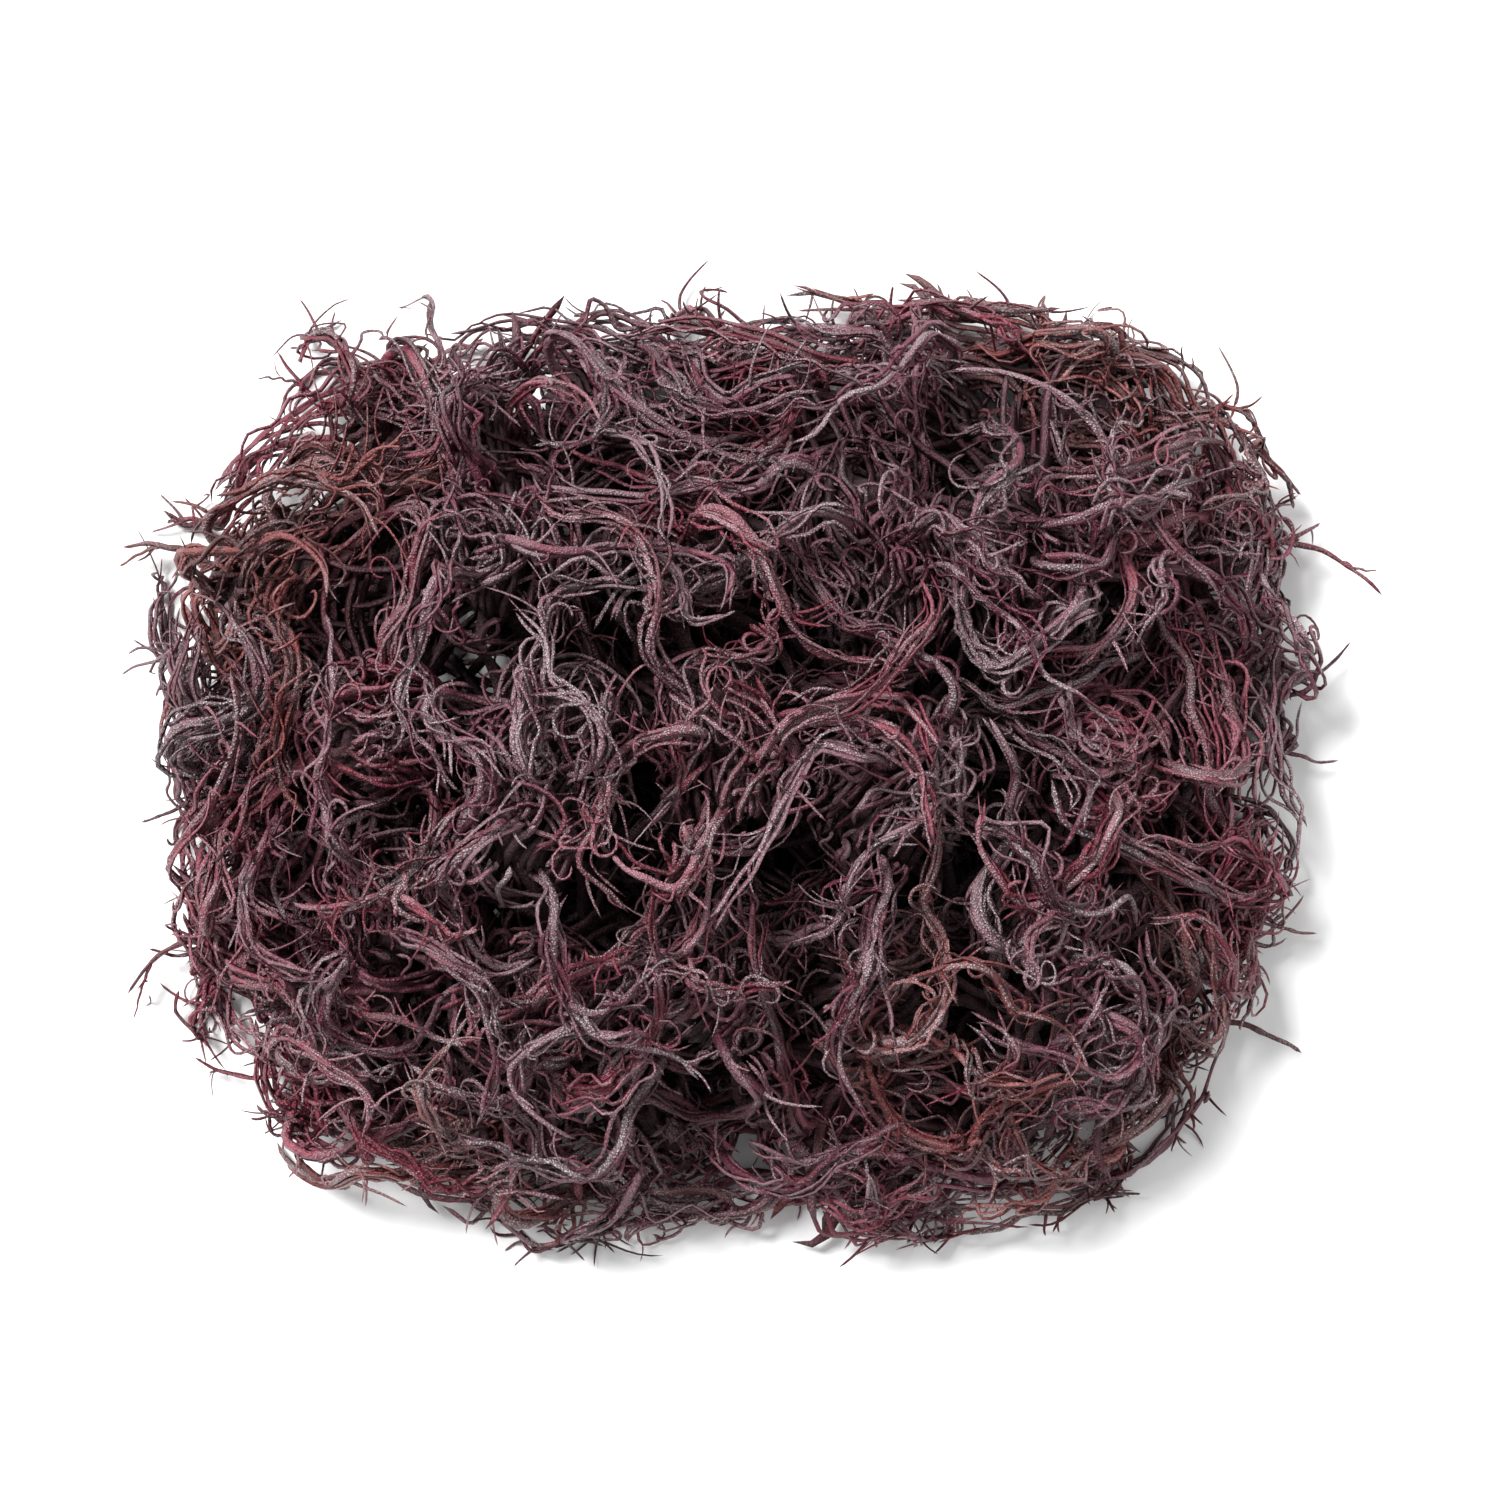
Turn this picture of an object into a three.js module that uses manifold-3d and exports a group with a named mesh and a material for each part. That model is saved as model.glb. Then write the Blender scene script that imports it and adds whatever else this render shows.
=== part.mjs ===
// Purple sea moss: one loose heap of dried, curled seaweed, as it lies on a table.
// The heap is many separate sprigs. Each sprig is a plant that has dried into a tangle:
// a knotted heart with long strands that stand out of it, wander over the heap and fork.
// Millimetres, +Z up. The origin is on the table, at the flat spot under the middle sprig.

import * as THREE from "three";
import { mergeVertices } from "three/addons/utils/BufferGeometryUtils.js";
import Module from "manifold-3d";

const { PI, sin, cos, sqrt, abs, floor, round, atan2, max, min } = Math;
const DEGREE = PI / 180;

// The heap's outer form: its height in the middle, and the radius of its rim every 15 degrees
const HEAP_HEIGHT = 64;
const RIM_RADII = [
  117, 123, 125, 127, 112, 100, 96, 100, 112, 124, 125, 121, 118, 117, 117, 116, 103, 93, 88, 92,
  102, 114, 115, 116,
];

const SEED = 55;

// Strands: the length of one step, the root radius of a fork, and the clear air kept between any two
const STEP = 7.8;
const FORK_STEP = 6;
const FORK_RADIUS = 1.6;
const FORKING_POINTS = 7;
const FORKING_SHARE = 0.5;
const CLEAR_AIR = 0.45;
const TABLE_AIR = 0.15;
const STRAND_SIDES = 4;
const FORK_SIDES = 3;
const HIGHEST_LEVEL = 1.03;

// How a strand looks for its way: turns in degrees about the heap's outward direction, and lifts
const TURNS = [0, 26, -26, 52, -52, 80, -80];
const LIFTS = [0, 0.45, -0.45];
const SHARPEST_BEND = cos(80 * DEGREE);

// What a way costs: for each radian of turn, for its lift, and for other strands above or below it
const TURN_COST = 0.5;
const LIFT_COST = 0.4;
const CROWD_COST = 0.8;
const CROWD_REACH = 7;

// Passes over all sprigs: the level that the strands seek (1 is the heap's surface), their root
// radius and their steps
const PASSES = [
  { level: 0.8, radius: 3.6, steps: 7 },
  { level: 0.9, radius: 3.3, steps: 7 },
  { level: 0.95, radius: 3, steps: 7 },
  { level: 0.99, radius: 2.7, steps: 7 },
  { level: 0.98, radius: 2.4, steps: 6 },
];

const COLOURS = {
  plum: { color: 0x3b2a33, roughness: 0.72, metalness: 0 },
  burgundy: { color: 0x5a2532, roughness: 0.66, metalness: 0 },
  rust: { color: 0x7d3326, roughness: 0.6, metalness: 0 },
};

// One row for each sprig: its name, the place of its heart, the heart's heading in degrees and its
// radius, the most steps that it grows each way, and the sprig's colour
const SPRIGS = [
  ["rim_left_upper", -95, 39, 9.5, 40, 12.5, 2, "rust"],
  ["rim_left_middle", -99, 6, 9.5, 50, 12.5, 2, "plum"],
  ["rim_left_lower", -96, -28, 9.5, 140, 12.5, 2, "burgundy"],
  ["rim_lower_left", -80, -57, 9.5, 165, 12.5, 2, "burgundy"],
  ["rim_bottom_left", -48, -67, 9.5, 45, 12.5, 2, "rust"],
  ["rim_bottom", -15, -66, 9.5, -35, 12.5, 2, "plum"],
  ["rim_bottom_right", 19, -66, 9.5, 40, 12.5, 2, "burgundy"],
  ["rim_lower_right", 53, -64, 9.5, -25, 12.5, 2, "plum"],
  ["rim_right_foot", 81, -46, 9.5, 5, 12.5, 2, "rust"],
  ["rim_right_lower", 97, -17, 9.5, 50, 12.5, 2, "burgundy"],
  ["rim_right_middle", 99, 17, 9.5, 145, 12.5, 2, "plum"],
  ["rim_right_upper", 95, 51, 9.5, 60, 12.5, 2, "burgundy"],
  ["rim_upper_right", 72, 75, 9.5, 165, 12.5, 2, "rust"],
  ["rim_top_right", 38, 74, 9.5, 140, 12.5, 2, "plum"],
  ["rim_top", 4, 74, 9.5, 35, 12.5, 2, "burgundy"],
  ["rim_top_left", -30, 73, 9.5, -35, 12.5, 2, "plum"],
  ["rim_upper_left", -67, 69, 9.5, 30, 12.5, 2, "burgundy"],
  ["shoulder_top_right", 26, 44, 32, 120, 13, 2, "plum"],
  ["shoulder_top", -10, 44, 32, 10, 13, 2, "burgundy"],
  ["shoulder_top_left", -46, 41, 32, 70, 13, 2, "plum"],
  ["shoulder_left_upper", -70, 11, 31, 40, 13, 2, "burgundy"],
  ["shoulder_left_lower", -65, -24, 31, 110, 13, 2, "plum"],
  ["shoulder_bottom_left", -39, -42, 31, 50, 13, 2, "burgundy"],
  ["shoulder_bottom", -7, -40, 32, 60, 13, 2, "plum"],
  ["shoulder_bottom_right", 27, -41, 32, 0, 13, 2, "rust"],
  ["shoulder_right_lower", 59, -29, 31, 80, 13, 2, "plum"],
  ["shoulder_right", 71, 4, 31, 30, 13, 2, "burgundy"],
  ["shoulder_right_upper", 59, 39, 31, 120, 13, 2, "plum"],
  ["crown_left", -36, 1, 42, 70, 13, 2, "plum"],
  ["crown_middle", -1, 2, 43, 100, 13, 2, "burgundy"],
  ["crown_right", 34, 3, 42, 40, 13, 2, "plum"],
  ["base_left", -40, -2, 9.5, 80, 12.5, 6, "plum"],
  ["base_middle", 0, 0, 9, 90, 12, 6, "burgundy"],
  ["base_right", 40, 0, 9.5, 100, 12.5, 6, "plum"],
];

// Hearts: a twisted hank grows both ways from its middle, step by step, where it finds free space
const HANK_STEP = 9;
const INNER_LEVEL = 0.75;
const HANK_AIR = 1.2;
const HANK_TURNS = [0, 12, -12, 24, -24];
const HANK_SIDES = 8;
const HANK_TWIST = 24;
const HANK_GROOVE = 0.84;

// Thin stray twigs past the rim: the sprig, the tip, how far the twig bows to its left, its root
// radius and, where it forks, the second tip
const TWIGS = [
  ["rim_left_upper", [-123, 48, 5], -3, 1.2, [-124, 44, 3]],
  ["rim_left_middle", [-119.5, -7.5, 4], 2, 0.8, null],
  ["rim_left_lower", [-118, -33, 4], 3, 0.8, null],
  ["rim_left_lower", [-122, -42, 5], -4, 0.9, [-121, -47, 3]],
  ["rim_lower_left", [-109, -55, 4], 3, 0.9, [-106, -58, 3]],
  ["rim_lower_left", [-91, -69, 4], -3, 0.8, null],
  ["rim_upper_left", [-92, 87, 6], 3, 0.9, [-96, 82, 4]],
  ["rim_upper_right", [104, 69, 5], 4, 0.8, null],
  ["rim_right_upper", [118, 53, 5], -3, 0.9, [113, 48, 3]],
  ["rim_right_upper", [130, 38, 6], 4, 0.9, [129, 43, 4]],
  ["rim_right_middle", [124, 29, 4], -3, 0.8, null],
  ["rim_right_middle", [121, 4.5, 4], -3, 0.8, null],
  ["rim_right_lower", [117, -30, 4], -3, 0.8, null],
  ["rim_right_foot", [114, -54, 4], 3, 1.2, null],
  ["rim_right_foot", [92, -70, 4], 3, 0.9, [88, -74, 3]],
];

// A repeatable stream of numbers from 0 to 1
function randomStream(seed) {
  let state = seed >>> 0;
  return () => {
    state = (Math.imul(state, 1664525) + 1013904223) >>> 0;
    return state / 4294967296;
  };
}
const random = randomStream(SEED);
const between = (low, high) => low + (high - low) * random();

const vector = (x, y, z) => new THREE.Vector3(x, y, z);
const along = (p, d, length) => p.clone().addScaledVector(d, length);

// The rim's radius in a direction, even between the named radii
function rimRadius(angle) {
  const at = ((angle / DEGREE + 360) % 360) / (360 / RIM_RADII.length);
  const low = floor(at);
  const share = at - low;
  const next = RIM_RADII[(low + 1) % RIM_RADII.length];
  return RIM_RADII[low % RIM_RADII.length] * (1 - share) + next * share;
}

// 0 in the heap's middle on the table, 1 on its domed surface
function levelOf(p) {
  const flat = sqrt(p.x * p.x + p.y * p.y) / rimRadius(atan2(p.y, p.x));
  const high = p.z / HEAP_HEIGHT;
  return sqrt(flat * flat + high * high);
}

// The way out of the heap at a point, as on a dome with the mean rim
function outward(p) {
  const n = vector(p.x / (118 * 118), p.y / (94 * 94), p.z / (HEAP_HEIGHT * HEAP_HEIGHT));
  return n.normalize();
}

function turned(d, axis, degrees) {
  return d.clone().applyAxisAngle(axis, degrees * DEGREE);
}

// The squared distance between two straight stretches a-b and c-d
function stretchDistance2(a, b, c, d) {
  const ux = b.x - a.x, uy = b.y - a.y, uz = b.z - a.z;
  const vx = d.x - c.x, vy = d.y - c.y, vz = d.z - c.z;
  const wx = a.x - c.x, wy = a.y - c.y, wz = a.z - c.z;
  const uu = ux * ux + uy * uy + uz * uz;
  const vv = vx * vx + vy * vy + vz * vz;
  const uv = ux * vx + uy * vy + uz * vz;
  const uw = ux * wx + uy * wy + uz * wz;
  const vw = vx * wx + vy * wy + vz * wz;
  const spread = uu * vv - uv * uv;
  let s = spread > 1e-9 ? min(max((uv * vw - vv * uw) / spread, 0), 1) : 0;
  const t = min(max((uv * s + vw) / vv, 0), 1);
  s = min(max((uv * t - uw) / uu, 0), 1);
  const x = wx + s * ux - t * vx, y = wy + s * uy - t * vy, z = wz + s * uz - t * vz;
  return x * x + y * y + z * z;
}

// Every stretch of strand and every heart laid so far, as round-ended rods that nothing may touch
const rods = [];

function isClear(a, b, radius, spared, air = CLEAR_AIR) {
  return rods.every((rod) => {
    if (spared(rod)) return true;
    const reach = radius + rod.radius + air;
    return stretchDistance2(a, b, rod.a, rod.b) >= reach * reach;
  });
}

// How many strands lie near a point as seen from above
function crowdAt(p) {
  let crowd = 0;
  for (const rod of rods) {
    const x = (rod.a.x + rod.b.x) / 2 - p.x, y = (rod.a.y + rod.b.y) / 2 - p.y;
    const reach = rod.heart ? rod.radius / 2 : CROWD_REACH;
    crowd += max(1 - sqrt(x * x + y * y) / reach, 0);
  }
  return crowd;
}

// A strand thins evenly, to about half of its root's radius, and then ends in a point
function radiusAt(strand, i) {
  return strand.radius * (1 - (0.55 * i) / (strand.steps + 1));
}

function layRods(strand) {
  for (let i = 0; i + 1 < strand.points.length; i += 1) {
    const [a, b] = [strand.points[i], strand.points[i + 1]];
    rods.push({ a, b, radius: radiusAt(strand, i), sprig: strand.sprig, strand, index: i });
  }
}

// Grows a strand onwards from its first two points, step by step over the heap, always through free
// space. It stops where none of its tries is clear.
function growOn(strand, stepLength, level) {
  let heading = strand.points[1].clone().sub(strand.points[0]).normalize();
  let curl = between(-34, 34);
  for (let i = 1; i <= strand.steps; i += 1) {
    const from = strand.points[i];
    const out = outward(from);
    if (random() < 0.28) curl = -curl;
    const jitter = vector(between(-1, 1), between(-1, 1), between(-1, 1));
    const pull = min(max((level - levelOf(from)) * 5, -0.7), 0.7);
    const flat = along(heading, out, -heading.dot(out) * 0.6);
    const wish = turned(flat.normalize(), out, curl);
    wish.addScaledVector(out, pull).addScaledVector(jitter, 0.16).normalize();
    const radius = radiusAt(strand, i);
    const spared = (rod) => rod.strand === strand && rod.index >= i - 1;
    let best = null;
    for (const turn of TURNS) {
      for (const lift of LIFTS) {
        const way = along(turned(wish, out, turn), out, lift).normalize();
        if (way.dot(heading) < SHARPEST_BEND) continue;
        const to = along(from, way, stepLength);
        to.z = max(to.z, radius + TABLE_AIR);
        if (levelOf(to) > HIGHEST_LEVEL) continue;
        const cost =
          TURN_COST * abs(turn) * DEGREE + LIFT_COST * abs(lift) + CROWD_COST * crowdAt(to);
        if (best && cost >= best.cost) continue;
        if (isClear(from, to, radius, spared)) best = { to, cost };
      }
    }
    if (!best) return;
    heading = best.to.clone().sub(from).normalize();
    strand.points.push(best.to);
    rods.push({ a: from, b: best.to, radius, sprig: strand.sprig, strand, index: i });
  }
}

// Lengthens a heart's hank by a step at one end, if there is free space for it
function growHank(sprig, atEnd) {
  const { path } = sprig;
  const from = atEnd ? path[path.length - 1] : path[0];
  const before = atEnd ? path[path.length - 2] : path[1];
  const out = sprig.onTable ? vector(0, 0, 1) : outward(from);
  const wish = from.clone().sub(before).normalize();
  const bend = between(-14, 14);
  for (const turn of HANK_TURNS) {
    const to = along(from, turned(wish, out, bend + turn), HANK_STEP);
    if (levelOf(to) > max(sprig.level + 0.05, INNER_LEVEL)) continue;
    if (!sprig.onTable && to.z < sprig.radius + 1) continue;
    const middle = from.clone().lerp(to, 0.5);
    if (!isClear(middle, to, sprig.radius, (rod) => rod.sprig === sprig, HANK_AIR)) continue;
    if (atEnd) path.push(to);
    else path.unshift(to);
    rods.push({ a: from, b: to, radius: sprig.radius, sprig, heart: true });
    return;
  }
}

// A strand that stands out of its sprig's heart, from a root sunk into it
function growStrand(sprig, pass) {
  const { level, steps } = pass;
  const strand = { sprig, radius: pass.radius * between(0.85, 1.1), steps, sides: STRAND_SIDES };
  const { path } = sprig;
  for (let tries = 0; tries < 20; tries += 1) {
    const at = random() * (path.length - 1);
    const inside = path[floor(at)].clone().lerp(path[floor(at) + 1], at - floor(at));
    const way = outward(inside).multiplyScalar(0.75);
    way.add(vector(between(-1, 1), between(-1, 1), between(-0.7, 1))).normalize();
    const root = along(inside, way, sprig.radius * 0.55);
    const first = along(inside, way, sprig.radius + strand.radius + 1);
    const low = first.z < strand.radius + TABLE_AIR || levelOf(first) > HIGHEST_LEVEL;
    if (low || !isClear(root, first, strand.radius, (rod) => rod.heart && rod.sprig === sprig)) continue;
    strand.points = [root, first];
    layRods(strand);
    growOn(strand, STEP, level);
    if (strand.points.length >= 5) {
      sprig.strands.push(strand);
      return;
    }
    while (rods.length && rods[rods.length - 1].strand === strand) rods.pop();
  }
}

// A short fork that leaves a strand part of the way along it
function growFork(sprig, parent, at) {
  const radius = min(FORK_RADIUS, radiusAt(parent, at) * 0.8);
  const fork = { sprig, radius, steps: 3, sides: FORK_SIDES };
  const root = parent.points[at];
  const ahead = parent.points[at].clone().sub(parent.points[at - 1]).normalize();
  const side = random() < 0.5 ? 1 : -1;
  for (const degrees of [48, -48, 72, -72]) {
    const way = turned(ahead, outward(root), side * degrees);
    const first = along(root, way, FORK_STEP);
    first.z = max(first.z, radius + TABLE_AIR);
    const spared = (rod) => rod.strand === parent && abs(rod.index + 0.5 - at) < 1.5;
    if (levelOf(first) > HIGHEST_LEVEL || !isClear(root, first, radius, spared)) continue;
    fork.points = [root, first];
    layRods(fork);
    growOn(fork, FORK_STEP, levelOf(root));
    sprig.strands.push(fork);
    return;
  }
}

// A stray twig: an even bow from the sprig's heart to its tip, past the rim
function layTwig(sprig, tip, bow, radius, fork) {
  const twig = { sprig, radius, steps: 6, sides: STRAND_SIDES };
  const root = along(sprig.middle, tip.clone().sub(sprig.middle).normalize(), sprig.radius * 0.5);
  const left = vector(root.y - tip.y, tip.x - root.x, 0).normalize();
  const lay = (from, to, count, bend) =>
    Array.from({ length: count + 1 }, (_, i) =>
      along(from.clone().lerp(to, i / count), left, bend * sin((PI * i) / count)));
  twig.points = lay(root, tip, twig.steps, bow);
  layRods(twig);
  sprig.strands.push(twig);
  if (!fork) return;
  const start = twig.points[twig.steps - 2];
  const second = { sprig, radius: radiusAt(twig, twig.steps - 2) * 0.8, steps: 2, sides: FORK_SIDES };
  second.points = lay(start, fork, second.steps, -0.6);
  layRods(second);
  sprig.strands.push(second);
}

// The sprigs: all their hearts are grown first, then the twigs, then the strands pass by pass
const sprigs = SPRIGS.map(([name, x, y, z, heading, radius, growth, colour]) => {
  const middle = vector(x, y, z);
  const way = vector(cos(heading * DEGREE), sin(heading * DEGREE), 0);
  const path = [along(middle, way, -HANK_STEP / 2), along(middle, way, HANK_STEP / 2)];
  const onTable = z < radius;
  const level = levelOf(middle);
  const sprig = { name, middle, path, radius, growth, colour, onTable, level, strands: [] };
  rods.push({ a: path[0], b: path[1], radius, sprig, heart: true });
  return sprig;
});

const mostSteps = max(...sprigs.map((sprig) => sprig.growth));
for (let i = 0; i < mostSteps; i += 1) {
  for (const sprig of sprigs.filter((each) => each.growth > i)) {
    growHank(sprig, true);
    growHank(sprig, false);
  }
}

for (const [name, tip, bow, radius, fork] of TWIGS) {
  const sprig = sprigs.find((each) => each.name === name);
  layTwig(sprig, vector(...tip), bow, radius, fork && vector(...fork));
}

for (const pass of PASSES) {
  for (const sprig of sprigs) growStrand(sprig, pass);
}

for (const sprig of sprigs) {
  const long = sprig.strands.filter((strand) => strand.points.length >= FORKING_POINTS);
  for (const strand of long) {
    if (random() < FORKING_SHARE) growFork(sprig, strand, 2 + floor(random() * 4));
  }
}

// Solids: a cone bent along each strand, a twisted hank for each heart, and both joined in a sprig
const wasm = await Module();
wasm.setup();

function solidOf(geometry) {
  const { array } = geometry.attributes.position;
  const mesh = new wasm.Mesh({
    numProp: 3,
    vertProperties: new Float32Array(array),
    triVerts: new Uint32Array(geometry.index.array),
  });
  return new wasm.Manifold(mesh);
}

function bare(geometry) {
  geometry.deleteAttribute("normal");
  geometry.deleteAttribute("uv");
  return mergeVertices(geometry);
}

// The directions across a path at each of its points, turned as little as they can be between two
function framesAlong(points) {
  const last = points.length - 1;
  let across = vector(0.31, 0.2, 0.93);
  return points.map((_, i) => {
    const ahead = points[min(i + 1, last)].clone().sub(points[max(i - 1, 0)]).normalize();
    across = along(across, ahead, -across.dot(ahead)).normalize();
    return { across, other: across.clone().cross(ahead) };
  });
}

// Bends an upright cone or cylinder along a path: ring i goes across its point i, with the radius and
// the turn that the caller gives for that ring and spoke
function bendAlong(geometry, points, sides, radiusOf, turnOf) {
  const last = points.length - 1;
  const frames = framesAlong(points);
  const place = geometry.attributes.position;
  for (let k = 0; k < place.count; k += 1) {
    const [x, y, z] = [place.getX(k), place.getY(k), place.getZ(k)];
    const i = round((y + 0.5) * last);
    const spoke = (round(atan2(x, z) / ((2 * PI) / sides)) + sides) % sides;
    const onAxis = sqrt(x * x + z * z) < 1e-6;
    const radius = onAxis ? 0 : radiusOf(i, spoke);
    const angle = (spoke * 2 * PI) / sides + turnOf(i);
    const p = along(points[i], frames[i].across, radius * sin(angle));
    p.addScaledVector(frames[i].other, radius * cos(angle));
    place.setXYZ(k, p.x, p.y, p.z);
  }
  return solidOf(bare(geometry));
}

function strandSolid(strand) {
  const { points, sides } = strand;
  const last = points.length - 1;
  const cone = new THREE.ConeGeometry(1, 1, sides, last);
  return bendAlong(cone, points, sides, (i) => (i === last ? 0 : radiusAt(strand, i)), () => 0);
}

// The hank is grooved and twisted like a wrung bundle, and rounds off in a blunt cone at both ends.
// It stays within the radius that was kept free for it.
function hankSolid(sprig) {
  const { path, radius } = sprig;
  const [a, b] = [path[0], path[path.length - 1]];
  const tail = a.clone().sub(path[1]).normalize();
  const head = b.clone().sub(path[path.length - 2]).normalize();
  const points = [along(a, tail, radius * 0.95), along(a, tail, radius * 0.45), ...path];
  points.push(along(b, head, radius * 0.45), along(b, head, radius * 0.95));
  const last = points.length - 1;
  const radiusOf = (i, spoke) => {
    const share = i === 0 || i === last ? 0.3 : i === 1 || i === last - 1 ? 0.82 : 1;
    return radius * share * (spoke % 2 ? HANK_GROOVE : 1);
  };
  const cylinder = new THREE.CylinderGeometry(1, 1, 1, HANK_SIDES, last);
  return bendAlong(cylinder, points, HANK_SIDES, radiusOf, (i) => i * HANK_TWIST * DEGREE);
}

// What lies above the table, to cut the lowest hearts flat where they rest
const ROOM = 400;
const aboveTable = solidOf(bare(new THREE.BoxGeometry(ROOM, ROOM, ROOM).translate(0, 0, ROOM / 2)));

// One solid for each sprig: its heart and strands joined, with a closed-off hollow filled
function sprigMesh(sprig) {
  let whole = hankSolid(sprig);
  for (const strand of sprig.strands) whole = whole.add(strandSolid(strand));
  if (sprig.onTable) whole = whole.intersect(aboveTable);
  const [largest] = whole.decompose().sort((a, b) => b.volume() - a.volume());
  const made = largest.getMesh();
  const geometry = new THREE.BufferGeometry();
  geometry.setAttribute("position", new THREE.BufferAttribute(made.vertProperties, made.numProp));
  geometry.setIndex(new THREE.BufferAttribute(made.triVerts, 1));
  geometry.computeVertexNormals();
  const mesh = new THREE.Mesh(geometry, new THREE.MeshStandardMaterial(COLOURS[sprig.colour]));
  mesh.name = sprig.name;
  return mesh;
}

const heap = new THREE.Group();
heap.name = "purple_sea_moss";
for (const sprig of sprigs) heap.add(sprigMesh(sprig));

export default heap;
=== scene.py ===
import math

import bpy
import numpy as np
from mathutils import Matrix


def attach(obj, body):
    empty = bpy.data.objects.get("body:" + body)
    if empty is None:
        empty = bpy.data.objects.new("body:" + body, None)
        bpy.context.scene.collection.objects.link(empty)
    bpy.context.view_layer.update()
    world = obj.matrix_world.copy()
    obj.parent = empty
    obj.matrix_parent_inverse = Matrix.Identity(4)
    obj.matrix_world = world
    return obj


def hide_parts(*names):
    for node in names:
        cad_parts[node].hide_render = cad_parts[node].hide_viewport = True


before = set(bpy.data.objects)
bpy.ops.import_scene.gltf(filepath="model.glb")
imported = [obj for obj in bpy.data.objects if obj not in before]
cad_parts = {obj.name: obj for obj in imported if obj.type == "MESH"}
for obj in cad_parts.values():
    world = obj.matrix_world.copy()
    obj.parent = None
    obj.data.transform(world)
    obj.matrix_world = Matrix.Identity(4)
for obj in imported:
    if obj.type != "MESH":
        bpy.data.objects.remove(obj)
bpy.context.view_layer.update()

MM = 0.001
DEGREE = math.pi / 180

# The heap's plan, in millimetres. The sprigs' hearts and main strands are grown by the same rule and
# the same numbers as the solids, so that each lock of fine strands follows its solid strand. The rim's
# radii are given every 15 degrees from +X, anticlockwise as seen from above.
HEAP_HEIGHT = 64
RIM_RADII = [
    117, 123, 125, 127, 112, 100, 96, 100, 112, 124, 125, 121, 118, 117, 117, 116, 103, 93, 88, 92,
    102, 114, 115, 116,
]
RIM_STEP = 15
DOME_WIDTHS = (118, 94)
SEED = 55

# How a strand grows: its steps, the air that it keeps, the ways that it tries and what each way costs.
STEP = 7.8
FORK_STEP = 6
FORK_RADIUS = 1.6
FORKING_POINTS = 7
FORKING_SHARE = 0.5
CLEAR_AIR = 0.45
TABLE_AIR = 0.15
HIGHEST_LEVEL = 1.03
TURNS = [0, 26, -26, 52, -52, 80, -80]
LIFTS = [0, 0.45, -0.45]
SHARPEST_BEND = math.cos(80 * DEGREE)
TURN_COST = 0.5
LIFT_COST = 0.4
CROWD_COST = 0.8
CROWD_REACH = 7
FORK_STEPS = 3
CURL = 34
CURL_TURNS_BACK = 0.28
HEIGHT_PULL, MOST_PULL = 5, 0.7
JITTER = 0.16
ROOT_TRIES = 20
ROOT_DEPTH = 0.55
FEWEST_POINTS = 5
TWIG_STEPS, TWIG_FORK_AT, TWIG_FORK_STEPS = 6, 4, 2

# Each pass sends one strand out of every sprig: the level that it keeps to, its radius and its steps.
PASSES = [(0.8, 3.6, 7), (0.9, 3.3, 7), (0.95, 3, 7), (0.99, 2.7, 7), (0.98, 2.4, 6)]

# How a heart grows.
HANK_STEP = 9
INNER_LEVEL = 0.75
HANK_AIR = 1.2
HANK_BEND = 14
HANK_TURNS = [0, 12, -12, 24, -24]

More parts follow.
